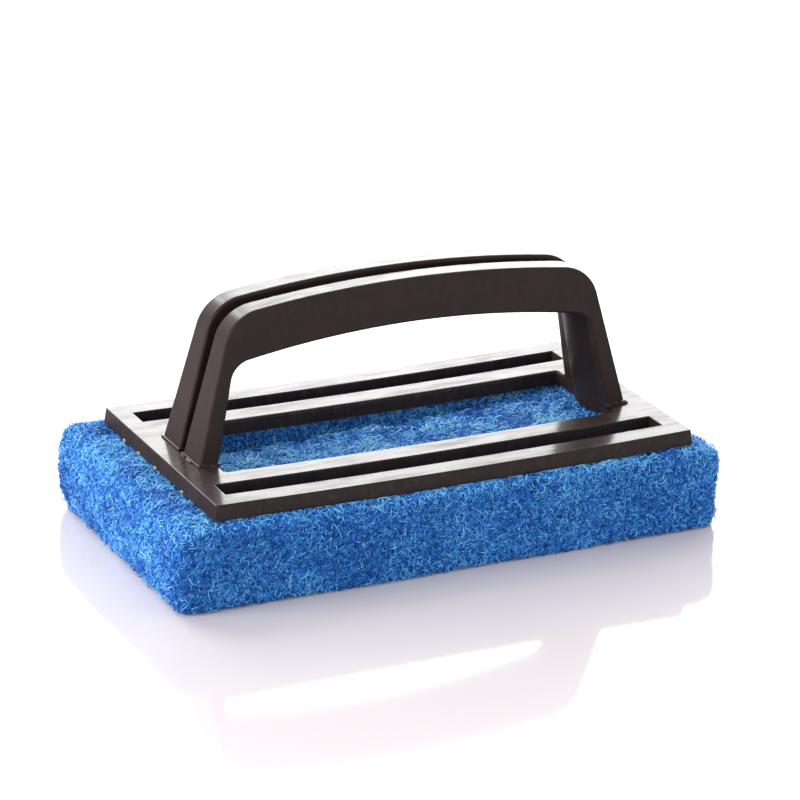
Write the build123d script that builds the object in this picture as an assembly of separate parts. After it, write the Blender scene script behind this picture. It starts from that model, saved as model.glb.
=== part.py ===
from build123d import *
import math
import os

# Pool wall brush: a black plastic frame with an arched handle, glued on a coarse scouring pad.
# Millimetres, +Z up. The origin is the middle of the pad's underside; X runs along the long side,
# and the handle spans the frame along X.

# Scouring pad
PAD_LENGTH = 150.0
PAD_WIDTH = 82.0
PAD_THICKNESS = 22.4
PAD_CORNER_RADIUS = 3.0
PAD_TOP_EDGE_RADIUS = 2.0
PAD_LOWER_EDGE_RADIUS = 0.8

# Hot-melt glue between the pad and the frame, with a few bits squeezed out at the left end
GLUE_THICKNESS = 0.3
GLUE_MARGIN = 0.5
SQUEEZE_RADIUS = 0.5
SQUEEZE_LENGTH = 1.7
SQUEEZE_PLACES = (-16.9, 0.9, 12.0, 21.8)

# Frame: a plate with drafted sides, a middle opening and a slot in each long rail. It sags a
# little along its length and presses into the pad in the middle.
FRAME_OFFSET_X = 2.5
FRAME_LENGTH = 134.0
FRAME_WIDTH = 74.0
FRAME_THICKNESS = 3.9
FRAME_DRAFT = 0.6
FRAME_SAG = 0.7
FRAME_CORNER_RADIUS = 0.5
FRAME_EDGE_RADIUS = 0.3
SLOT_LENGTH = 123.5
SLOT_WIDTH = 6.9
SLOT_CENTRE_Y = 27.3
SLOT_EDGE_RADIUS = 0.3
OPENING_WIDTH = 33.0
OPENING_CORNER_RADIUS = 1.0
OPENING_EDGE_RADIUS = 0.8

# Handle: legs that lean inwards under a low arch; z is counted from the frame's top face
LEG_OUTER_FOOT = 61.0
LEG_OUTER_LEAN = 0.262
LEG_INNER_FOOT = 55.6
LEG_INNER_LEAN = 0.20
ARCH_TOP_Z = 41.6
ARCH_TOP_RADIUS = 330.0
ARCH_TOP_CORNER = 11.0
ARCH_UNDER_Z = 29.9
ARCH_UNDER_RADIUS = 270.0
ARCH_UNDER_CORNER = 6.0
HANDLE_HALF_WIDTH = 12.05
HANDLE_SIDE_LEAN = 0.08

# Groove along the handle's outer side, between its two ribs
GROOVE_HALF_WIDTH = 1.2
GROOVE_SIDE_LEAN = 0.031
GROOVE_DEPTH = 3.2

# Crown along the handle's palm side
CROWN_HALF_WIDTH = 7.2
CROWN_HEIGHT = 1.9
CROWN_ROOT = 1.0

# Rounded edges and the low bead round each foot
RIB_EDGE_RADIUS = 0.8
PALM_EDGE_RADIUS = 0.7
FOOT_BEAD_HEIGHT = 0.45
FOOT_BEAD_MARGIN = 0.4
FOOT_BEAD_RADIUS = 0.3

# The frame's top reaches FRAME_TOP_Z at its two ends, where its underside is just above the pad
FRAME_TOP_Z = PAD_THICKNESS + GLUE_THICKNESS + FRAME_THICKNESS
SAG_RADIUS = (FRAME_LENGTH / 2) ** 2 / (2 * FRAME_SAG)
FRAME_UNDER_LENGTH = FRAME_LENGTH + 2 * FRAME_DRAFT
FRAME_UNDER_WIDTH = FRAME_WIDTH + 2 * FRAME_DRAFT
BELOW_FRAME = 12.0
ABOVE_HANDLE = 60.0
WIDE = 200.0
FRAME_PLACE = Pos(FRAME_OFFSET_X, 0, FRAME_TOP_Z)


def slab(z_low, z_high):
    """A block wide enough to keep everything between two heights."""
    height = z_high - z_low
    return Pos(0, 0, z_low) * Box(WIDE, WIDE, height, align=(Align.CENTER, Align.CENTER, Align.MIN))


def sagging_slab(z_low, z_high):
    """A slab whose two faces sag along X; its heights are those at the frame's ends."""
    lower = Pos(0, z_low - FRAME_SAG + SAG_RADIUS) * Circle(SAG_RADIUS)
    upper = Pos(0, z_high - FRAME_SAG + SAG_RADIUS) * Circle(SAG_RADIUS)
    return across((lower - upper) & Rectangle(WIDE, WIDE))


def arch_outline(half_foot, lean, top_z, top_radius, corner_radius):
    """Two leaning straight sides under a large arc, with rounded corners, as a face in XY."""
    half_bottom = half_foot + lean * BELOW_FRAME
    half_top = half_foot - lean * ABOVE_HANDLE
    sides = Polygon(
        (-half_bottom, -BELOW_FRAME),
        (half_bottom, -BELOW_FRAME),
        (half_top, ABOVE_HANDLE),
        (-half_top, ABOVE_HANDLE),
        align=None,
    )
    disc = Pos(0, top_z - top_radius) * Circle(top_radius)
    outline = sides & disc
    corners = outline.vertices().sort_by(Axis.Y)[-2:]
    return fillet(corners, corner_radius)


def drafted_bar(half_width, lean):
    """A bar along X whose sides close in with height: half_width is at z = 0."""
    half_low = half_width + lean * BELOW_FRAME
    half_high = half_width - lean * ABOVE_HANDLE
    section = Polygon(
        (-half_low, -BELOW_FRAME),
        (half_low, -BELOW_FRAME),
        (half_high, ABOVE_HANDLE),
        (-half_high, ABOVE_HANDLE),
        align=None,
    )
    return extrude(Plane.YZ * section, amount=WIDE / 2, both=True)


def outer_outline():
    return arch_outline(
        LEG_OUTER_FOOT, LEG_OUTER_LEAN, ARCH_TOP_Z, ARCH_TOP_RADIUS, ARCH_TOP_CORNER
    )


def inner_outline():
    return arch_outline(
        LEG_INNER_FOOT, LEG_INNER_LEAN, ARCH_UNDER_Z, ARCH_UNDER_RADIUS, ARCH_UNDER_CORNER
    )


def across(face):
    """The face stood up in XZ and made a solid right across the handle."""
    return extrude(Plane.XZ * face, amount=WIDE / 2, both=True)


def groove():
    """The channel cut into the outer side, wider towards the top so that it draws upwards."""
    outline = outer_outline()
    band = outline - offset(outline, amount=-GROOVE_DEPTH)
    return across(band) & drafted_bar(GROOVE_HALF_WIDTH, -GROOVE_SIDE_LEAN)


def palm_crown():
    """The rounded rise that runs along the palm side, from foot to foot."""
    path = Wire((Plane.XZ * inner_outline()).edges().sort_by(Axis.Z)[1:])
    start = path @ 0
    section_plane = Plane(origin=start, x_dir=(0, 1, 0), z_dir=path % 0)
    to_palm = 1 if section_plane.y_dir.X * start.X < 0 else -1
    rise = ThreePointArc(
        (-CROWN_HALF_WIDTH, 0), (0, CROWN_HEIGHT * to_palm), (CROWN_HALF_WIDTH, 0)
    )
    root = Polyline(
        (CROWN_HALF_WIDTH, 0),
        (CROWN_HALF_WIDTH, -CROWN_ROOT * to_palm),
        (-CROWN_HALF_WIDTH, -CROWN_ROOT * to_palm),
        (-CROWN_HALF_WIDTH, 0),
    )
    section = make_face(rise.edges() + root.edges())
    return sweep(section_plane * section, path=path)


def handle_body():
    """The arch from below the frame upwards, before it is cut off at the frame's top."""
    arch = across(outer_outline() - inner_outline())
    arch &= drafted_bar(HANDLE_HALF_WIDTH, HANDLE_SIDE_LEAN)
    return arch


def edges_along(body, outline, least_y):
    """The body's long edges that follow an outline in XZ, further than least_y from the middle."""
    border = (Plane.XZ * outline).wire()
    found = ShapeList()
    for edge in body.edges():
        middle = edge @ 0.5
        lengthwise = abs((edge % 0.5).Y) < 0.5
        above_cut = middle.Z > -BELOW_FRAME + 1
        if lengthwise and above_cut and abs(middle.Y) > least_y:
            if border.distance_to(Vector(middle.X, 0, middle.Z)) < 0.02:
                found.append(edge)
    return found


def handle_leg_and_arch():
    """The handle with its rounded edges, running on down below the frame's top."""
    body = handle_body() + palm_crown() - groove()
    body = fillet(edges_along(body, outer_outline(), GROOVE_HALF_WIDTH / 2), RIB_EDGE_RADIUS)
    return fillet(edges_along(body, inner_outline(), CROWN_HALF_WIDTH + 1), PALM_EDGE_RADIUS)


def hand_space():
    """The space inside the arch; it runs on down through the frame."""
    return across(inner_outline()) & Box(WIDE, OPENING_WIDTH, WIDE)


def upper_face(body):
    """The largest face that looks upwards."""
    upward = [face for face in body.faces() if face.normal_at().Z > 0.9]
    return max(upward, key=lambda face: face.area)


def frame_plate():
    """The sagging plate with its drafted sides, its slots and rounded upper edges."""
    spare = 2 * FRAME_SAG
    depth = FRAME_THICKNESS + spare
    slope = FRAME_DRAFT / FRAME_THICKNESS
    spread = slope * depth
    bottom = RectangleRounded(
        FRAME_LENGTH + 2 * spread, FRAME_WIDTH + 2 * spread, FRAME_CORNER_RADIUS + spread
    )
    block = extrude(bottom, amount=depth + spare, taper=math.degrees(math.atan(slope)))
    plate = (Pos(0, 0, -depth) * block) & sagging_slab(-FRAME_THICKNESS, 0)
    for side in (-1, 1):
        plate -= Pos(0, side * SLOT_CENTRE_Y) * Box(SLOT_LENGTH, SLOT_WIDTH, 4 * depth)
    plate = fillet(upper_face(plate).outer_wire().edges(), FRAME_EDGE_RADIUS)
    slot_edges = [edge for wire in upper_face(plate).inner_wires() for edge in wire.edges()]
    return fillet(slot_edges, SLOT_EDGE_RADIUS)


def foot_bead(side):
    """The low bead that hugs one leg where it meets the frame, rooted in the frame."""
    leg = handle_body() - groove()
    footprint = section(leg, section_by=Plane.XY)
    foot = footprint.faces().sort_by(Axis.X)[0 if side < 0 else -1]
    outline = offset(foot.outer_wire(), amount=FOOT_BEAD_MARGIN)
    base_z = -2 * FRAME_SAG
    bead = Pos(0, 0, base_z) * extrude(make_face(outline.edges()), amount=FOOT_BEAD_HEIGHT - base_z)
    return fillet(upper_face(bead).outer_wire().edges(), FOOT_BEAD_RADIUS)


def base_frame():
    """The frame, with the hand space cut through its middle and a bead round each foot."""
    frame = frame_plate() - hand_space()
    half_opening = OPENING_WIDTH / 2
    corners = [
        edge
        for edge in frame.edges()
        if abs((edge % 0.5).Z) > 0.5 and abs(abs((edge @ 0.5).Y) - half_opening) < 0.01
    ]
    frame = fillet(corners, OPENING_CORNER_RADIUS)
    opening_rim = upper_face(frame).inner_wires().sort_by(SortBy.LENGTH)[-1]
    frame = fillet(opening_rim.edges(), OPENING_EDGE_RADIUS)
    for side in (-1, 1):
        frame += foot_bead(side) - hand_space()
    return frame + (palm_crown() & sagging_slab(-FRAME_THICKNESS, 0))


def scouring_pad():
    """A block with rounded corners and slightly rounded edges."""
    block = extrude(RectangleRounded(PAD_LENGTH, PAD_WIDTH, PAD_CORNER_RADIUS), PAD_THICKNESS)
    block = fillet(block.faces().sort_by(Axis.Z)[-1].edges(), PAD_TOP_EDGE_RADIUS)
    return fillet(block.faces().sort_by(Axis.Z)[0].edges(), PAD_LOWER_EDGE_RADIUS)


def glue_bead(x_range, y_range):
    """A strip of glue pressed to the height of the gap under the frame; x, y in the frame."""
    x_low, x_high = sorted(x_range)
    y_low, y_high = sorted(y_range)
    column = Pos((x_low + x_high) / 2, (y_low + y_high) / 2) * Box(x_high - x_low, y_high - y_low, WIDE)
    return column & sagging_slab(-FRAME_THICKNESS - GLUE_THICKNESS, -FRAME_THICKNESS)


def rail_glue(side):
    """Two strips under one long rail, one each side of its slot."""
    half_length = SLOT_LENGTH / 2 - GLUE_MARGIN
    slot_inner = SLOT_CENTRE_Y - SLOT_WIDTH / 2
    slot_outer = SLOT_CENTRE_Y + SLOT_WIDTH / 2
    inner_y = (side * (OPENING_WIDTH / 2 + GLUE_MARGIN), side * (slot_inner - GLUE_MARGIN))
    outer_y = (side * (slot_outer + GLUE_MARGIN), side * (FRAME_UNDER_WIDTH / 2 - GLUE_MARGIN))
    lengthwise = (-half_length, half_length)
    return glue_bead(lengthwise, inner_y) + glue_bead(lengthwise, outer_y)


def end_glue(side):
    """One strip across the frame's end, beyond the ends of the slots."""
    half_width = FRAME_UNDER_WIDTH / 2 - GLUE_MARGIN
    inner_x = SLOT_LENGTH / 2 + GLUE_MARGIN
    outer_x = FRAME_UNDER_LENGTH / 2 - GLUE_MARGIN
    return glue_bead((side * inner_x, side * outer_x), (-half_width, half_width))


def squeezed_bit(y):
    """A lying capsule of glue at the frame's lower left edge; it still overlaps frame and pad."""
    rod = Cylinder(SQUEEZE_RADIUS, SQUEEZE_LENGTH)
    rod = fillet(rod.edges().filter_by(GeomType.CIRCLE), 0.95 * SQUEEZE_RADIUS)
    return Pos(-FRAME_UNDER_LENGTH / 2, y, -FRAME_THICKNESS) * Rot(90, 0, 0) * rod


frame_solid = base_frame()
handle_solid = (handle_leg_and_arch() & sagging_slab(0, ABOVE_HANDLE)) - frame_solid

left_glue = end_glue(-1)
for place in SQUEEZE_PLACES:
    left_glue += squeezed_bit(place)
pad_top = slab(PAD_THICKNESS - FRAME_TOP_Z, 0)
left_glue = (left_glue & pad_top) - frame_solid

held = {
    "base_frame": frame_solid,
    "handle": handle_solid,
    "glue_front_rail": rail_glue(-1),
    "glue_rear_rail": rail_glue(1),
    "glue_left_end": left_glue,
    "glue_right_end": end_glue(1),
}
nodes = {name: FRAME_PLACE * solid for name, solid in held.items()}

# The frame and its glue press into the pad's top
pad_solid = scouring_pad()
for name, solid in nodes.items():
    if name != "handle":
        pad_solid -= solid
nodes["scouring_pad"] = pad_solid

os.makedirs("parts", exist_ok=True)
for name, solid in nodes.items():
    solid.label = name
    export_step(solid, f"parts/{name}.step")
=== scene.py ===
import math

import bmesh
import bpy
import numpy as np
from mathutils import Matrix, Vector, noise


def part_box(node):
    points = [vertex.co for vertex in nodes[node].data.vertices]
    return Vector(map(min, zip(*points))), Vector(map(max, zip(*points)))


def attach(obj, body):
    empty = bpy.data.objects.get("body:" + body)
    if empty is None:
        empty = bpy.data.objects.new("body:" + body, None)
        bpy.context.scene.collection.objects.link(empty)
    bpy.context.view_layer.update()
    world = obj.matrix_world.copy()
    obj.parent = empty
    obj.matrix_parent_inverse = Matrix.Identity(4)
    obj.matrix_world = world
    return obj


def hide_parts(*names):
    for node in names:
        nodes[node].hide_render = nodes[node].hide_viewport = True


# Looks of the pool wall brush. Metres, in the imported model's frame: the origin is the middle of the
# pad's underside, +X runs along the long side and +Z is up.

MM = 0.001

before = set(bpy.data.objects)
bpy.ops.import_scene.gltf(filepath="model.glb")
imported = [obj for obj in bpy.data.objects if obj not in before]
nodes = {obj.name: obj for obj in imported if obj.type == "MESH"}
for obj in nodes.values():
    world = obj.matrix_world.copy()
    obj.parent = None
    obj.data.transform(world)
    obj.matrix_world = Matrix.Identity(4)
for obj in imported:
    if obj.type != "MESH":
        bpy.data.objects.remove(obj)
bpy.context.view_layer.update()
pad_low, pad_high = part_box("scouring_pad")
plate_low, plate_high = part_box("base_frame")


# ---------------------------------------------------------------- shader helpers


class Shader:
    """A node tree with one Principled shader, and short calls for the nodes that feed it."""

    def __init__(self, name):
        self.material = bpy.data.materials.new(name)
        self.material.use_nodes = True
        self.tree = self.material.node_tree
        self.tree.nodes.clear()
        self.output = self.tree.nodes.new("ShaderNodeOutputMaterial")
        self.principled = self.tree.nodes.new("ShaderNodeBsdfPrincipled")
        self.link(self.principled.outputs["BSDF"], self.output.inputs["Surface"])

    def link(self, source, target):
        self.tree.links.new(source, target)

    def set(self, **values):
        for name, value in values.items():
            self.principled.inputs[name.replace("_", " ")].default_value = value

    def node(self, kind, **settings):
        made = self.tree.nodes.new(kind)
        for name, value in settings.items():
            setattr(made, name, value)
        return made

    def position(self, stretch=(1.0, 1.0, 1.0)):
        """Object coordinates, in metres, optionally stretched."""
        coordinates = self.node("ShaderNodeTexCoord")
        mapping = self.node("ShaderNodeMapping")
        mapping.inputs["Scale"].default_value = stretch
        self.link(coordinates.outputs["Object"], mapping.inputs["Vector"])
        return mapping.outputs["Vector"]

    def noise(self, size_mm, detail=3.0, roughness=0.55, stretch=(1.0, 1.0, 1.0)):
        """Noise whose lumps are about size_mm across, from 0 to 1."""
        texture = self.node("ShaderNodeTexNoise")
        texture.inputs["Scale"].default_value = 1 / (size_mm * MM)
        texture.inputs["Detail"].default_value = detail
        texture.inputs["Roughness"].default_value = roughness
        self.link(self.position(stretch), texture.inputs["Vector"])
        return texture.outputs["Fac"]

    def ramp(self, factor, *stops):
        """A colour ramp; each stop is (position, colour)."""
        made = self.node("ShaderNodeValToRGB")
        elements = made.color_ramp.elements
        while len(elements) < len(stops):
            elements.new(0.5)
        for element, (position, colour) in zip(elements, stops):
            element.position = position
            element.color = (*colour, 1.0)
        self.link(factor, made.inputs["Fac"])
        return made.outputs["Color"]

    def spread(self, factor, low, high, from_low=0.3, from_high=0.7):
        """The factor's useful range turned into low to high."""
        made = self.node("ShaderNodeMapRange")
        made.inputs["From Min"].default_value = from_low
        made.inputs["From Max"].default_value = from_high
        made.inputs["To Min"].default_value = low
        made.inputs["To Max"].default_value = high
        self.link(factor, made.inputs["Value"])
        return made.outputs["Result"]

    def maths(self, operation, first, second):
        made = self.node("ShaderNodeMath", operation=operation)
        for socket, value in zip(made.inputs, (first, second)):
            if isinstance(value, (int, float)):
                socket.default_value = value
            else:
                self.link(value, socket)
        return made.outputs["Value"]

    def mix(self, factor, first, second):
        """A colour mix of two outputs or colours."""
        made = self.node("ShaderNodeMix", data_type="RGBA")
        self.link(factor, made.inputs["Factor"])
        # A Mix node's colour sockets come after those for numbers and vectors
        for socket, value in ((made.inputs[6], first), (made.inputs[7], second)):
            if isinstance(value, tuple):
                socket.default_value = (*value, 1.0)
            else:
                self.link(value, socket)
        return made.outputs[2]

    def bump(self, height, depth_mm, strength=1.0, under=None):
        made = self.node("ShaderNodeBump")
        made.inputs["Strength"].default_value = strength
        made.inputs["Distance"].default_value = depth_mm * MM
        self.link(height, made.inputs["Height"])
        if under is not None:
            self.link(under, made.inputs["Normal"])
        self.link(made.outputs["Normal"], self.principled.inputs["Normal"])
        return made.outputs["Normal"]


# ---------------------------------------------------------------- materials


def moulded_plastic(name, side_grain, coat_on_sides, patch):
    """Black moulded plastic: a glossy skin on upward faces, satin and mottled brown on its sides."""
    shader = Shader(name)
    mottle = shader.noise(7.0, detail=5)
    plain = shader.ramp(mottle, (0.35, (0.0215, 0.0135, 0.0125)), (0.60, (0.0285, 0.0174, 0.0156)))
    rough_spots = shader.noise(1.6, detail=6, roughness=0.7, stretch=(1.0, 1.0, 0.45))
    colour = shader.mix(shader.spread(rough_spots, 0.0, 1.0, 0.52, 0.70), plain, patch)
    shader.link(colour, shader.principled.inputs["Base Color"])
    shader.link(shader.spread(mottle, 0.40, 0.58), shader.principled.inputs["Roughness"])

    geometry = shader.node("ShaderNodeNewGeometry")
    split = shader.node("ShaderNodeSeparateXYZ")
    shader.link(geometry.outputs["Normal"], split.inputs["Vector"])
    upward = shader.spread(split.outputs["Z"], coat_on_sides, 1.0, 0.78, 0.98)
    scuffs = shader.noise(2.5, detail=6, roughness=0.7, stretch=(0.15, 1.0, 1.0))
    worn = shader.spread(scuffs, 1.0, 0.45, 0.48, 0.72)
    shader.link(shader.maths("MULTIPLY", upward, worn), shader.principled.inputs["Coat Weight"])

    flow = shader.noise(14.0, detail=3, stretch=(0.4, 1.0, 1.0))
    waves = shader.bump(flow, 0.16, strength=0.5)
    streaks = shader.noise(1.1, detail=4, roughness=0.65, stretch=(0.1, 1.0, 0.5))
    marks = shader.bump(streaks, 0.05, strength=0.5, under=waves)
    shader.link(marks, shader.principled.inputs["Coat Normal"])
    grain = shader.noise(side_grain, detail=4)
    shader.bump(grain, 0.03, strength=0.5, under=waves)
    shader.set(Specular_IOR_Level=0.11, Coat_Roughness=0.15, Coat_IOR=1.5)
    return shader.material


def hot_melt():
    """Tan glue, a little cloudy."""
    shader = Shader("hot_melt_glue")
    cloud = shader.noise(0.8, detail=3)
    colour = shader.ramp(cloud, (0.3, (0.07, 0.05, 0.04)), (0.7, (0.26, 0.22, 0.18)))
    shader.link(colour, shader.principled.inputs["Base Color"])
    shader.link(shader.spread(cloud, 0.25, 0.5), shader.principled.inputs["Roughness"])
    shader.bump(cloud, 0.15, strength=0.6)
    return shader.material


def web_core():
    """The web below the outer fibres, coloured darker than them as painted shade for the gaps between
    fibres: dark gaps between short blue strokes.
    """
    shader = Shader("fibre_web_core")
    strands = shader.noise(1.1, detail=4, roughness=0.65)
    patches = shader.noise(16.0, detail=2)
    deep = shader.ramp(
        strands,
        (0.38, (0.003, 0.035, 0.140)),
        (0.52, (0.010, 0.100, 0.380)),
        (0.66, (0.036, 0.260, 0.700)),
    )
    light = shader.ramp(
        strands,
        (0.36, (0.005, 0.050, 0.190)),
        (0.50, (0.016, 0.140, 0.480)),
        (0.64, (0.055, 0.340, 0.820)),
    )
    colour = shader.mix(shader.spread(patches, 0.0, 1.0), deep, light)
    shader.link(colour, shader.principled.inputs["Base Color"])
    shader.link(shader.spread(strands, 0.75, 0.5), shader.principled.inputs["Roughness"])
    shader.bump(strands, 0.9, strength=0.9)
    shader.set(Specular_IOR_Level=0.15)
    return shader.material


def fibre_material(name, colour, roughness):
    """One shade of the resin-bonded fibre."""
    shader = Shader(name)
    shader.set(Base_Color=(*colour, 1.0), Roughness=roughness, Specular_IOR_Level=0.45)
    return shader.material


frame_plastic = moulded_plastic("black_plastic_frame", 1.2, 0.05, (0.0440, 0.0325, 0.0270))
handle_plastic = moulded_plastic("black_plastic_handle", 0.7, 0.05, (0.0310, 0.0200, 0.0178))
glue = hot_melt()


def dress(node, material):
    """Gives a CAD node's object one material."""
    for slot in nodes[node].material_slots:
        slot.link = "OBJECT"
        slot.material = material


dress("base_frame", frame_plastic)
dress("handle", handle_plastic)
for name in nodes:
    if name.startswith("glue"):
        dress(name, glue)


# ---------------------------------------------------------------- scouring pad

# The frame's shape as the CAD has it: it sags by FRAME_SAG between its ends
FRAME_SAG = 0.7 * MM
PLATE_MIDDLE_X = (plate_low.x + plate_high.x) / 2
PLATE_HALF_X = (plate_high.x - plate_low.x) / 2
PLATE_HALF_Y = plate_high.y
PLATE_THICKNESS = 3.9 * MM
OPENING_HALF_X = 55.6 * MM
OPENING_HALF_Y = 16.5 * MM
SLOT_CENTRE_Y = 27.3 * MM
SLOT_HALF_X = 61.75 * MM
SLOT_HALF_Y = 3.45 * MM

# How the soft web differs from the plain block: it swells unevenly, bulges and droops at its ends,
# is pressed down round the frame's outline, and dips inside the frame's opening
WEB_VOXEL = 1.1 * MM
WEB_SWELL = 0.45 * MM
WEB_SWELL_SIZES = (26 * MM, 3.4 * MM)
CLEAR_OF_FLOOR = 0.1 * MM
UPWARD_WEB = 0.3
LEFT_BULGE = 2.1 * MM
RIGHT_SPREAD = 1.8 * MM
RIGHT_UNDERCUT = 0.6 * MM
END_ZONE = 20 * MM
END_MARGIN = 3 * MM
FRONT_FADE = 30 * MM
PRESS_DEPTH = 0.6 * MM
PRESS_REACH = 3.5 * MM
OPENING_DIP_LEFT = 3.4 * MM
OPENING_DIP_RIGHT = 0.9 * MM
RIGHT_DROOP = 2.2 * MM
RIGHT_DROOP_LENGTH = 6 * MM
DIP_FADE = 3 * MM
REAR_TROUGH_LEFT = 2.8 * MM
REAR_TROUGH_RIGHT = 0.9 * MM
REAR_TROUGH_REACH = 4.5 * MM


def clamped(value):
    """The value kept from 0 to 1."""
    return min(max(value, 0), 1)


def between(first, last, share):
    """The value at a share of the way from the first to the last."""
    return first + (last - first) * share


def beyond_plate(x, y):
    """How far a place is outside the frame's outline, seen from above; negative inside it."""
    return np.maximum(np.abs(x - PLATE_MIDDLE_X) - PLATE_HALF_X, np.abs(y) - PLATE_HALF_Y)


def inside_opening(x, y):
    """How far a place is inside the frame's opening, seen from above; negative outside it."""
    return np.minimum(OPENING_HALF_X - np.abs(x - PLATE_MIDDLE_X), OPENING_HALF_Y - np.abs(y))


def inside_slot(x, y):
    """How far a place is inside one of the frame's slots, seen from above; negative outside them."""
    across = SLOT_HALF_Y - np.abs(np.abs(y) - SLOT_CENTRE_Y)
    return np.minimum(SLOT_HALF_X - np.abs(x - PLATE_MIDDLE_X), across)


def plate_underside(x):
    """The height of the frame's lower face."""
    return plate_low.z + FRAME_SAG * ((x - PLATE_MIDDLE_X) / PLATE_HALF_X) ** 2


def remeshed(source, name, voxel):
    """A copy of an object's mesh, remeshed evenly, as a new object."""
    copy = bpy.data.objects.new(name, source.data.copy())
    bpy.context.scene.collection.objects.link(copy)
    remesh = copy.modifiers.new("even", "REMESH")
    remesh.mode = "VOXEL"
    remesh.voxel_size = voxel
    graph = bpy.context.evaluated_depsgraph_get()
    even = bpy.data.meshes.new_from_object(copy.evaluated_get(graph), depsgraph=graph)
    copy.modifiers.clear()
    copy.data = even
    even.name = name
    return copy


def web_shape(point, normal):
    """Where a point of the plain block goes on the soft, slightly uneven web."""
    height = (point.z - pad_low.z) / (pad_high.z - pad_low.z)
    mid_height = 1 - (2 * height - 1) ** 2
    swell = sum(noise.noise(point / size) for size in WEB_SWELL_SIZES)
    moved = point + normal * (WEB_SWELL * swell)
    towards_end = clamped((abs(point.x) - (pad_high.x - END_ZONE - END_MARGIN)) / END_ZONE)
    if point.x < 0:
        moved.x -= towards_end * LEFT_BULGE * mid_height
    else:
        towards_front = clamped(-point.y / FRONT_FADE)
        moved.x += towards_end * (towards_front * RIGHT_SPREAD - RIGHT_UNDERCUT * (1 - height) ** 2)
        past_plate = clamped((point.x - plate_high.x) / RIGHT_DROOP_LENGTH)
        moved.z -= past_plate * max(2 * height - 1, 0) * RIGHT_DROOP
    if normal.z > UPWARD_WEB:
        outside = abs(beyond_plate(point.x, point.y))
        moved.z -= PRESS_DEPTH * math.exp(-((outside / PRESS_REACH) ** 2))
        sunk = clamped(1 + inside_opening(point.x, point.y) / DIP_FADE)
        rightward = 0.5 + 0.5 * (point.x - PLATE_MIDDLE_X) / OPENING_HALF_X
        dip = between(OPENING_DIP_LEFT, OPENING_DIP_RIGHT, rightward)
        trough = between(REAR_TROUGH_LEFT, REAR_TROUGH_RIGHT, rightward)
        from_rear = (OPENING_HALF_Y - point.y) / REAR_TROUGH_REACH
        moved.z -= sunk * (dip + trough * math.exp(-(from_rear**2)))
    moved.z = max(moved.z, pad_low.z + CLEAR_OF_FLOOR)
    return moved


pad = remeshed(nodes["scouring_pad"], "pad_web", WEB_VOXEL)
# All normals are read first, because moving a vertex changes those around it
web_normals = [vertex.normal.copy() for vertex in pad.data.vertices]
for vertex, normal in zip(pad.data.vertices, web_normals):
    vertex.co = web_shape(vertex.co, normal)
pad.data.update()
pad.data.shade_smooth()
pad.data.materials.clear()
pad.data.materials.append(web_core())

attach(pad, "root")
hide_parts("scouring_pad")

FIBRE_SHADES = (
    # name, share of the fibres, colour, roughness
    ("fibre_deep", 0.20, (0.006, 0.072, 0.350), 0.60),
    ("fibre_royal", 0.27, (0.026, 0.190, 0.670), 0.55),
    ("fibre_azure", 0.29, (0.070, 0.362, 0.855), 0.50),
    ("fibre_sky", 0.21, (0.172, 0.560, 0.930), 0.50),
    ("fibre_pale", 0.0292, (0.300, 0.740, 1.000), 0.50),
    ("fibre_rust", 0.0008, (0.160, 0.060, 0.060), 0.60),
)
FIBRE_SIDES = 3
FIBRE_STEPS = 4
FIBRE_LENGTH = (0.8 * MM, 2.3 * MM)
FIBRE_TURN = (0.5, 2.6)
FIBRE_RISE = (0.1 * MM, 1.0 * MM)
FIBRE_RADIUS = (0.075 * MM, 0.14 * MM)
STRAY_SHARE = 0.04
STRAY_SHARE_TOP = 0.13
STRAY_LENGTH = (1.8 * MM, 4.2 * MM)
STRAY_TURN = (0.3, 1.8)
STRAY_LIFT = 1.6 * MM
LIFT_START = 0.3
FIBRE_ROOT_DEPTH = 0.35 * MM
FIBRE_TIP = 0.45
FRAME_CLEARANCE = 0.1 * MM
FRAME_REACH = 4 * MM
RISE_BESIDE_FRAME = 0.45
SLOT_FIBRE_HEIGHT = 0.8 * MM
FIBRES_PER_MM2 = 3.1
FIBRES_PER_MM2_UNDER = 1.3
CLUMP_SIZES = (9 * MM, 2.6 * MM)
CLUMP_SHARES = (1.0, 0.8)
CLUMPING = 0.42
CLUMPING_TOP = 0.65
STRAY_LIGHTENING = 0.25
# Painted light: fibres near the web's top edge take lighter shades, standing for the back light caught
# along the rim
PAINTED_RIM_LIGHT = 0.22
PAINTED_RIM_LIGHT_HEIGHT = 3.5 * MM
# Painted light and shade inside the frame's opening: fibres take lighter shades towards the front left
# and darker ones towards the rear wall, where the rails and handle cast shade
OPENING_PAINTED_LIGHT = 0.34
OPENING_PAINTED_LIGHT_LEFT_SHARE = 0.5
OPENING_DEEPEST_PAINTED_SHADE = -0.6


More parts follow.
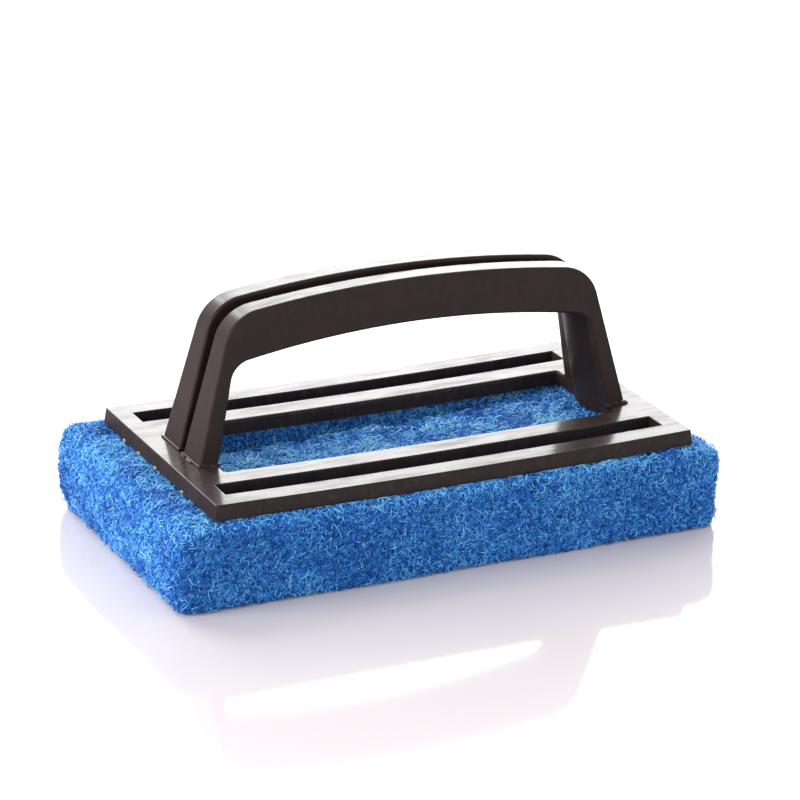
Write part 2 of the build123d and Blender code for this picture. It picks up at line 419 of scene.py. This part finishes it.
def surface_samples(mesh, per_mm2, rng):
    """Random points and normals on a mesh, evenly by area."""
    mesh.calc_loop_triangles()
    corners = np.empty(len(mesh.loop_triangles) * 3, int)
    mesh.loop_triangles.foreach_get("vertices", corners)
    corners = corners.reshape(-1, 3)
    places = np.empty(len(mesh.vertices) * 3)
    mesh.vertices.foreach_get("co", places)
    places = places.reshape(-1, 3)
    normals = np.empty(len(mesh.vertices) * 3)
    mesh.vertices.foreach_get("normal", normals)
    normals = normals.reshape(-1, 3)
    a, b, c = places[corners[:, 0]], places[corners[:, 1]], places[corners[:, 2]]
    areas = np.linalg.norm(np.cross(b - a, c - a), axis=1) / 2
    count = int(areas.sum() / MM**2 * per_mm2)
    chosen = rng.choice(len(areas), count, p=areas / areas.sum())
    u, v = rng.random(count), rng.random(count)
    folded = u + v > 1
    u[folded], v[folded] = 1 - u[folded], 1 - v[folded]
    w = 1 - u - v
    mixed = [w[:, None], u[:, None], v[:, None]]
    points = sum(m * places[corners[chosen, k]] for k, m in enumerate(mixed))
    directions = sum(m * normals[corners[chosen, k]] for k, m in enumerate(mixed))
    directions /= np.linalg.norm(directions, axis=1)[:, None]
    return points, directions


def unit(vectors):
    """The vectors at length 1."""
    return vectors / np.maximum(np.linalg.norm(vectors, axis=-1, keepdims=True), 1e-12)


def fibre_lines(points, normals, rng, length, turn, rise, lift):
    """Centre lines of curled fibres: arcs that lie along the surface, dip into it and rise."""
    count = len(points)
    random = rng.normal(size=(count, 3))
    along = unit(random - (random * normals).sum(1, keepdims=True) * normals)
    aside = np.cross(normals, along)
    lengths = rng.uniform(*length, count)[:, None]
    angles = (rng.uniform(*turn, count) * rng.choice((-1, 1), count))[:, None]
    steps = np.linspace(0, 1, FIBRE_STEPS + 1)[None, :]
    radius = lengths / angles
    forward = radius * np.sin(angles * (steps - 0.5))
    sideways = radius * (1 - np.cos(angles * (steps - 0.5)))
    heights = rng.uniform(*rise, count)[:, None] * np.sin(math.pi * steps)
    heights = heights + lift * (steps - LIFT_START) - FIBRE_ROOT_DEPTH
    return (
        points[:, None, :]
        + forward[..., None] * along[:, None, :]
        + sideways[..., None] * aside[:, None, :]
        + heights[..., None] * normals[:, None, :]
    )


def pressed_down(lines):
    """The centre lines kept above the floor, below the frame near it, and low in its slots."""
    x, y = lines[..., 0], lines[..., 1]
    outside = beyond_plate(x, y)
    beside = RISE_BESIDE_FRAME * np.maximum(outside, 0) - FRAME_CLEARANCE
    allowed = np.where(inside_slot(x, y) > 0, SLOT_FIBRE_HEIGHT, beside)
    ceiling = plate_underside(x) + allowed
    near = (outside < FRAME_REACH) & (inside_opening(x, y) < 0)
    held = np.where(near, np.minimum(lines[..., 2], ceiling), lines[..., 2])
    lines[..., 2] = np.maximum(held, pad_low.z + CLEAR_OF_FLOOR)
    return lines


def fibre_mesh(name, lines, normals, radii, shades):
    """Thin closed tubes round the centre lines, as one mesh."""
    count, rings, _ = lines.shape
    runs = unit(np.gradient(lines, axis=1))
    side = unit(np.cross(runs, normals[:, None, :]))
    up = np.cross(side, runs)
    taper = np.ones(rings)
    taper[[0, -1]] = FIBRE_TIP
    angles = np.arange(FIBRE_SIDES) * 2 * math.pi / FIBRE_SIDES
    girth = (radii[:, None] * taper[None, :])[:, :, None, None]
    ring = (
        np.cos(angles)[None, None, :, None] * side[:, :, None, :]
        + np.sin(angles)[None, None, :, None] * up[:, :, None, :]
    )
    vertices = (lines[:, :, None, :] + girth * ring).reshape(-1, 3)

    ring_starts = np.arange(rings - 1)[:, None] * FIBRE_SIDES
    corner = np.arange(FIBRE_SIDES)[None, :]
    following = (corner + 1) % FIBRE_SIDES
    quads = np.stack(
        [
            ring_starts + corner,
            ring_starts + following,
            ring_starts + FIBRE_SIDES + following,
            ring_starts + FIBRE_SIDES + corner,
        ],
        axis=-1,
    ).reshape(-1, 4)
    fibre_starts = np.arange(count)[:, None, None] * rings * FIBRE_SIDES
    all_quads = (fibre_starts + quads[None]).reshape(-1, 4)
    first_cap = np.arange(FIBRE_SIDES)[::-1]
    last_cap = np.arange(FIBRE_SIDES) + (rings - 1) * FIBRE_SIDES
    caps = np.stack([first_cap, last_cap])
    all_caps = (fibre_starts + caps[None]).reshape(-1, FIBRE_SIDES)

    loops = np.concatenate([all_quads.ravel(), all_caps.ravel()])
    totals = np.concatenate([np.full(len(all_quads), 4), np.full(len(all_caps), FIBRE_SIDES)])
    starts = np.concatenate([[0], np.cumsum(totals)[:-1]])
    mesh = bpy.data.meshes.new(name)
    mesh.vertices.add(len(vertices))
    mesh.vertices.foreach_set("co", vertices.ravel())
    mesh.loops.add(len(loops))
    mesh.loops.foreach_set("vertex_index", loops)
    mesh.polygons.add(len(totals))
    mesh.polygons.foreach_set("loop_start", starts)
    shade_of_face = np.concatenate(
        [np.repeat(shades, len(quads)), np.repeat(shades, len(caps))]
    )
    for material in fibre_materials:
        mesh.materials.append(material)
    mesh.polygons.foreach_set("material_index", shade_of_face)
    mesh.update(calc_edges=True)
    mesh.validate()
    mesh.shade_smooth()
    return mesh


fibre_materials = [
    fibre_material(name, colour, roughness) for name, share, colour, roughness in FIBRE_SHADES
]
shade_limits = np.cumsum([shade[1] for shade in FIBRE_SHADES])
# The last two shades are single fibres, scattered, except for the pale ones inside the opening, which
# the painted light there can also pick
patchy_limit, pale_limit = shade_limits[-3], shade_limits[-2]
rng = np.random.default_rng(7)
points, normals = surface_samples(pad.data, FIBRES_PER_MM2, rng)

# No fibres where the frame covers the web, and fewer underneath
COVER_MARGIN = 3 * MM
FACING = 0.6
covered = (
    (normals[:, 2] > FACING)
    & (beyond_plate(points[:, 0], points[:, 1]) < -COVER_MARGIN)
    & (inside_opening(points[:, 0], points[:, 1]) < -COVER_MARGIN)
    & (inside_slot(points[:, 0], points[:, 1]) < -COVER_MARGIN / 2)
)
kept_under = FIBRES_PER_MM2_UNDER / FIBRES_PER_MM2
thinned = (normals[:, 2] < -FACING) & (rng.random(len(points)) > kept_under)
points, normals = points[~covered & ~thinned], normals[~covered & ~thinned]

facing = {
    "front": normals[:, 1] < -FACING,
    "rear": normals[:, 1] > FACING,
    "top": normals[:, 2] > FACING,
    "under": normals[:, 2] < -FACING,
}
ends = ~np.any(list(facing.values()), axis=0)
patches = {"left_end": ends & (points[:, 0] < 0), "right_end": ends & (points[:, 0] >= 0)}
for name, mask in facing.items():
    patches[f"{name}_left"] = mask & (points[:, 0] < 0)
    patches[f"{name}_right"] = mask & (points[:, 0] >= 0)


def clumps(places):
    """Uneven patches in the web's colour, from about -1 to 1."""
    uneven = np.zeros(len(places))
    for size, share in zip(CLUMP_SIZES, CLUMP_SHARES):
        uneven += [share * noise.noise(Vector(place) / size) for place in places]
    return uneven


for patch, mask in patches.items():
    place, outward = points[mask], normals[mask]
    count = len(place)
    lines = fibre_lines(place, outward, rng, FIBRE_LENGTH, FIBRE_TURN, FIBRE_RISE, 0.0)
    on_top = patch.startswith("top")
    stray = rng.random(count) < (STRAY_SHARE_TOP if on_top else STRAY_SHARE)
    lines[stray] = fibre_lines(
        place[stray], outward[stray], rng, STRAY_LENGTH, STRAY_TURN, FIBRE_RISE, STRAY_LIFT
    )
    radii = rng.uniform(*FIBRE_RADIUS, count)
    pick = rng.random(count)
    patchy = pick < patchy_limit
    x, y, z = place[patchy].T
    # Painted light along the web's top rim
    lighter = PAINTED_RIM_LIGHT * np.exp(-(((pad_high.z - z) / PAINTED_RIM_LIGHT_HEIGHT) ** 2))
    # Painted light and shade in the opening: lighter shades towards the front left, darker towards the
    # rear wall
    opened = on_top & (inside_opening(x, y) > 0)
    leftward = (PLATE_MIDDLE_X - x) / OPENING_HALF_X
    painted_light_towards_front_left = OPENING_PAINTED_LIGHT_LEFT_SHARE * leftward - y / OPENING_HALF_Y
    lighter += OPENING_PAINTED_LIGHT * opened * np.clip(painted_light_towards_front_left, OPENING_DEEPEST_PAINTED_SHADE, 1)
    lighter += STRAY_LIGHTENING * stray[patchy]
    clumping = (CLUMPING_TOP if on_top else CLUMPING) * clumps(place[patchy])
    # Inside the opening the painted light may reach the pale shade, as painted highlights
    lightest = np.where(opened, pale_limit, patchy_limit) - 1e-6
    pick[patchy] = np.clip(pick[patchy] + clumping + lighter, 0, lightest)
    shades = np.searchsorted(shade_limits, pick)
    mesh = fibre_mesh(f"pad_fibres_{patch}", pressed_down(lines), outward, radii, shades)
    fibres = bpy.data.objects.new(f"pad_fibres_{patch}", mesh)
    bpy.context.scene.collection.objects.link(fibres)
    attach(fibres, "root")


# ---------------------------------------------------------------- moulding flash at the feet

FLASH_LUMPS = (
    # x, y from the frame's middle in mm, and half sizes along x, y, z in mm
    (-61.4, -3.0, 0.7, 1.6, 0.6),
    (-61.5, -6.4, 0.6, 1.9, 0.5),
    (-57.0, -12.5, 0.9, 0.6, 0.9),
    (55.9, -13.0, 0.9, 0.8, 0.9),
    (57.6, -12.6, 0.8, 0.6, 0.5),
    (60.1, -12.6, 1.3, 0.7, 0.9),
)
FLASH_UNEVENNESS = 0.45
FLASH_WAVES = 1.6


def flash_lump(mesh, x, y, half_sizes):
    """Adds one uneven lump of plastic to the bmesh, resting on the frame's upper face."""
    made = bmesh.ops.create_icosphere(mesh, subdivisions=4, radius=1.0)
    top = plate_underside(x) + PLATE_THICKNESS
    own_noise = Vector((x, y, 0)) / MM
    for vertex in made["verts"]:
        uneven = 1 + FLASH_UNEVENNESS * noise.noise(vertex.co * FLASH_WAVES + own_noise)
        vertex.co = Vector(a * b * uneven for a, b in zip(vertex.co, half_sizes)) + Vector((x, y, top))


lumps = bmesh.new()
for x, y, *half_sizes in FLASH_LUMPS:
    flash_lump(lumps, PLATE_MIDDLE_X + x * MM, y * MM, [half * MM for half in half_sizes])
flash_mesh = bpy.data.meshes.new("foot_flash")
lumps.to_mesh(flash_mesh)
lumps.free()
flash_mesh.shade_smooth()
flash_mesh.materials.append(handle_plastic)
flash = bpy.data.objects.new("foot_flash", flash_mesh)
bpy.context.scene.collection.objects.link(flash)
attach(flash, "root")


# ---------------------------------------------------------------- floor, light and camera


def floor_material():
    shader = Shader("pale_floor")
    shader.set(Base_Color=(0.672, 0.630, 0.650, 1.0), Roughness=0.07, Specular_IOR_Level=0.5)
    return shader.material


FLOOR_REACH = 8.0
floor_corners = [(x * FLOOR_REACH, y * FLOOR_REACH, 0) for x, y in ((-1, -1), (1, -1), (1, 1), (-1, 1))]
floor_mesh = bpy.data.meshes.new("floor")
floor_mesh.from_pydata(floor_corners, [], [(0, 1, 2, 3)])
floor = bpy.data.objects.new("floor", floor_mesh)
floor.data.materials.append(floor_material())
bpy.context.scene.collection.objects.link(floor)


def area_light(name, place, target, size, power, colour=(1.0, 1.0, 1.0)):
    """A rectangular soft light at a place, aimed at a target."""
    data = bpy.data.lights.new(name, "AREA")
    data.shape = "RECTANGLE"
    data.size, data.size_y = size
    data.energy = power
    data.color = colour
    light = bpy.data.objects.new(name, data)
    light.location = place
    aim = Vector(target) - Vector(place)
    light.rotation_euler = aim.to_track_quat("-Z", "Y").to_euler()
    bpy.context.scene.collection.objects.link(light)
    return light


# Metres and watts
LIGHT_TARGET = (0.0, 0.0, 0.03)
area_light("rear_key", (-0.5, 1.2, 1.2), LIGHT_TARGET, (0.9, 0.9), 17.0)
area_light("left", (-1.6, 0.1, 0.55), LIGHT_TARGET, (0.8, 0.8), 29.0)
area_light("front_fill", (0.4, -1.8, 0.3), LIGHT_TARGET, (1.8, 0.5), 8.0, colour=(0.80, 0.90, 1.0))
area_light("backdrop", (0.9, 1.9, 0.75), LIGHT_TARGET, (3.6, 1.5), 62.0)

world = bpy.data.worlds.new("studio")
world.use_nodes = True
background = world.node_tree.nodes["Background"]
background.inputs["Color"].default_value = (1.0, 0.98, 0.98, 1.0)
background.inputs["Strength"].default_value = 0.83
bpy.context.scene.world = world

bpy.context.scene.view_settings.view_transform = "Standard"

CAMERA_PLACE = Vector((-0.3931, -0.8110, 0.3707))
CAMERA_AZIMUTH = math.radians(26.040)
CAMERA_ELEVATION = math.radians(20.586)
CAMERA_ROLL = math.radians(1.167)
CAMERA_LENS = 166.6

camera_data = bpy.data.cameras.new("camera")
camera_data.sensor_width = 36.0
camera_data.lens = CAMERA_LENS
camera_data.clip_start = 0.05
camera = bpy.data.objects.new("camera", camera_data)
turned = (
    Matrix.Rotation(-CAMERA_AZIMUTH, 4, "Z")
    @ Matrix.Rotation(math.pi / 2 - CAMERA_ELEVATION, 4, "X")
    @ Matrix.Rotation(CAMERA_ROLL, 4, "Z")
)
camera.matrix_world = Matrix.Translation(CAMERA_PLACE) @ turned
bpy.context.scene.collection.objects.link(camera)
bpy.context.scene.camera = camera
